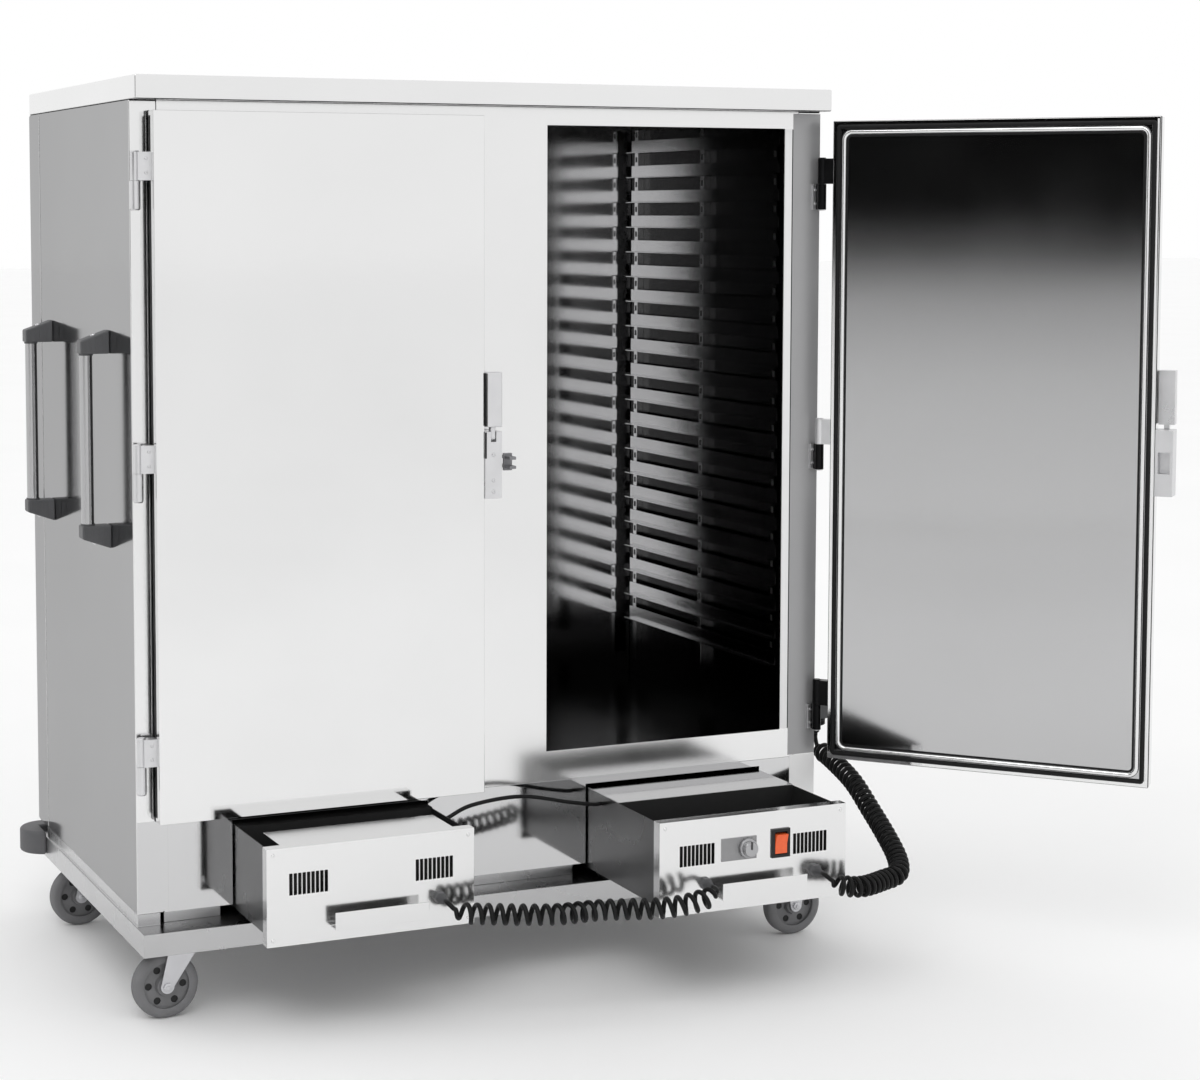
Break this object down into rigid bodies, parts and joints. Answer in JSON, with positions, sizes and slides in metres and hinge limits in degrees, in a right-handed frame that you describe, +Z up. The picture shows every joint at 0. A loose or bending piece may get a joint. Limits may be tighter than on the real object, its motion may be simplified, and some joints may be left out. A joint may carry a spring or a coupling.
{
  "type": "mobile insulated food cabinet",
  "caption": "Upright insulated cabinet on casters with hinged doors, tray slides, push handles and pull-out heating drawers joined by curly cords, for carrying hot food",
  "frame": {"origin": "on the floor under the middle of the cabinet body", "axes": "+X to the right along the front, +Y from the front to the back, +Z up"},
  "size_m": [2.0107, 1.3993, 1.756],
  "materials": {
    "polished_steel": "polished stainless sheet",
    "liner_steel": "satin stainless sheet",
    "frame_steel": "zinc-grey steel",
    "hinge_metal": "satin cast metal",
    "foam": "rigid foam",
    "dark_plastic": "satin",
    "black_plastic": "gloss",
    "rocker_plastic": "translucent gloss",
    "bumper_rubber": "matt",
    "gasket_rubber": "matt",
    "cord_rubber": "matt",
    "wheel_rubber": "matt",
    "tray_metal": "black coated sheet",
    "heater_metal": "dull",
    "motor_metal": "dull",
    "fan_metal": "dull"
  },
  "bodies": {
    "cabinet": {"lid": "polished_steel", "left_wall": "polished_steel", "right_wall": "polished_steel", "back_wall": "polished_steel", "partition": "liner_steel", "compartment_floor": "liner_steel", "insulation": "foam", "face_frame": "polished_steel", "lower_front_panel": "polished_steel", "chassis": "frame_steel", "left_racks": "liner_steel", "right_racks": "liner_steel", "push_handle_brackets": "dark_plastic", "push_handle_grips": "polished_steel", "cabinet_hinges": "hinge_metal", "latch_keepers": "hinge_metal", "parking_socket": "dark_plastic", "corner_bumpers": "bumper_rubber", "fixed_caster_forks": "frame_steel", "link_cord": "cord_rubber", "mains_cord": "cord_rubber", "mains_plug": "cord_rubber", "drawer_cable": "cord_rubber"},
    "left_door": {"left_door_pan": "polished_steel", "left_door_core": "foam", "left_door_liner": "polished_steel", "left_door_gasket": "gasket_rubber", "left_door_hinges": "hinge_metal", "left_latch_body": "hinge_metal"},
    "left_lever": {"left_latch_lever": "hinge_metal"},
    "right_door": {"right_door_pan": "polished_steel", "right_door_core": "foam", "right_door_liner": "polished_steel", "right_door_gasket": "gasket_rubber", "right_door_hinges": "hinge_metal", "right_latch_body": "hinge_metal"},
    "right_lever": {"right_latch_lever": "hinge_metal"},
    "left_drawer": {"left_drawer_tray": "tray_metal", "left_drawer_front": "polished_steel", "left_drawer_cover": "polished_steel", "left_heater": "heater_metal", "left_fan_motor": "motor_metal", "left_cord_gland": "dark_plastic"},
    "right_drawer": {"right_drawer_tray": "tray_metal", "right_drawer_front": "polished_steel", "right_drawer_cover": "polished_steel", "right_heater": "heater_metal", "right_fan_motor": "motor_metal", "right_cord_glands": "dark_plastic", "switch_bezel": "black_plastic"},
    "left_fan_wheel": {"left_fan": "fan_metal"},
    "right_fan_wheel": {"right_fan": "fan_metal"},
    "rocker": {"switch_rocker": "rocker_plastic"},
    "knob": {"thermostat_knob": "dark_plastic"},
    "front_swivel": {"front_swivel_fork": "frame_steel"},
    "rear_swivel": {"rear_swivel_fork": "frame_steel"},
    "front_left_caster_wheel": {"front_left_wheel": "wheel_rubber"},
    "rear_left_caster_wheel": {"rear_left_wheel": "wheel_rubber"},
    "front_right_caster_wheel": {"front_right_wheel": "wheel_rubber"},
    "rear_right_caster_wheel": {"rear_right_wheel": "wheel_rubber"}
  },
  "joints": [
    {"name": "left_door_hinge", "type": "hinge", "parent": "cabinet", "child": "left_door", "pos_m": [-0.722, -0.418, 0], "axis": [0, 0, -1], "range_deg": [0, 150]},
    {"name": "right_door_hinge", "type": "hinge", "parent": "cabinet", "child": "right_door", "pos_m": [0.722, -0.418, 0], "axis": [0, 0, 1], "range_deg": [-132, 18]},
    {"name": "left_latch_turn", "type": "hinge", "parent": "left_door", "child": "left_lever", "pos_m": [-0.0255, -0.442, 1.074], "axis": [1, 0, 0], "range_deg": [0, 60]},
    {"name": "right_latch_turn", "type": "hinge", "parent": "right_door", "child": "right_lever", "pos_m": [1.20589, -0.91954, 1.074], "axis": [-0.6691, 0.7431, 0], "range_deg": [0, 60]},
    {"name": "left_drawer_slide", "type": "slide", "parent": "cabinet", "child": "left_drawer", "axis": [0, -1, 0], "range_m": [-0.1955, 0.112], "deforming": ["link_cord", "drawer_cable"]},
    {"name": "right_drawer_slide", "type": "slide", "parent": "cabinet", "child": "right_drawer", "axis": [0, -1, 0], "range_m": [-0.3075, 0], "deforming": ["link_cord", "mains_cord", "drawer_cable"]},
    {"name": "left_fan_spin", "type": "hinge", "parent": "left_drawer", "child": "left_fan_wheel", "pos_m": [-0.343, -0.331, 0.273], "axis": [0, 1, 0], "continuous": true},
    {"name": "right_fan_spin", "type": "hinge", "parent": "right_drawer", "child": "right_fan_wheel", "pos_m": [0.397, -0.45, 0.273], "axis": [0, 1, 0], "continuous": true},
    {"name": "switch_rock", "type": "hinge", "parent": "right_drawer", "child": "rocker", "pos_m": [0.4545, -0.728, 0.2955], "axis": [1, 0, 0], "range_deg": [-16, 0]},
    {"name": "thermostat_turn", "type": "hinge", "parent": "right_drawer", "child": "knob", "pos_m": [0.3815, -0.74, 0.2935], "axis": [0, -1, 0], "range_deg": [-135, 135]},
    {"name": "front_swivel_turn", "type": "hinge", "parent": "cabinet", "child": "front_swivel", "pos_m": [-0.641, -0.396, 0.15], "axis": [0, 0, 1], "continuous": true},
    {"name": "rear_swivel_turn", "type": "hinge", "parent": "cabinet", "child": "rear_swivel", "pos_m": [-0.641, 0.26, 0.15], "axis": [0, 0, 1], "continuous": true},
    {"name": "front_left_spin", "type": "hinge", "parent": "front_swivel", "child": "front_left_caster_wheel", "pos_m": [-0.676, -0.396, 0.0625], "axis": [0, 1, 0], "continuous": true},
    {"name": "rear_left_spin", "type": "hinge", "parent": "rear_swivel", "child": "rear_left_caster_wheel", "pos_m": [-0.676, 0.26, 0.0625], "axis": [0, 1, 0], "continuous": true},
    {"name": "front_right_spin", "type": "hinge", "parent": "cabinet", "child": "front_right_caster_wheel", "pos_m": [0.678, -0.396, 0.0625], "axis": [0, 1, 0], "continuous": true},
    {"name": "rear_right_spin", "type": "hinge", "parent": "cabinet", "child": "rear_right_caster_wheel", "pos_m": [0.678, 0.26, 0.0625], "axis": [0, 1, 0], "continuous": true}
  ]
}
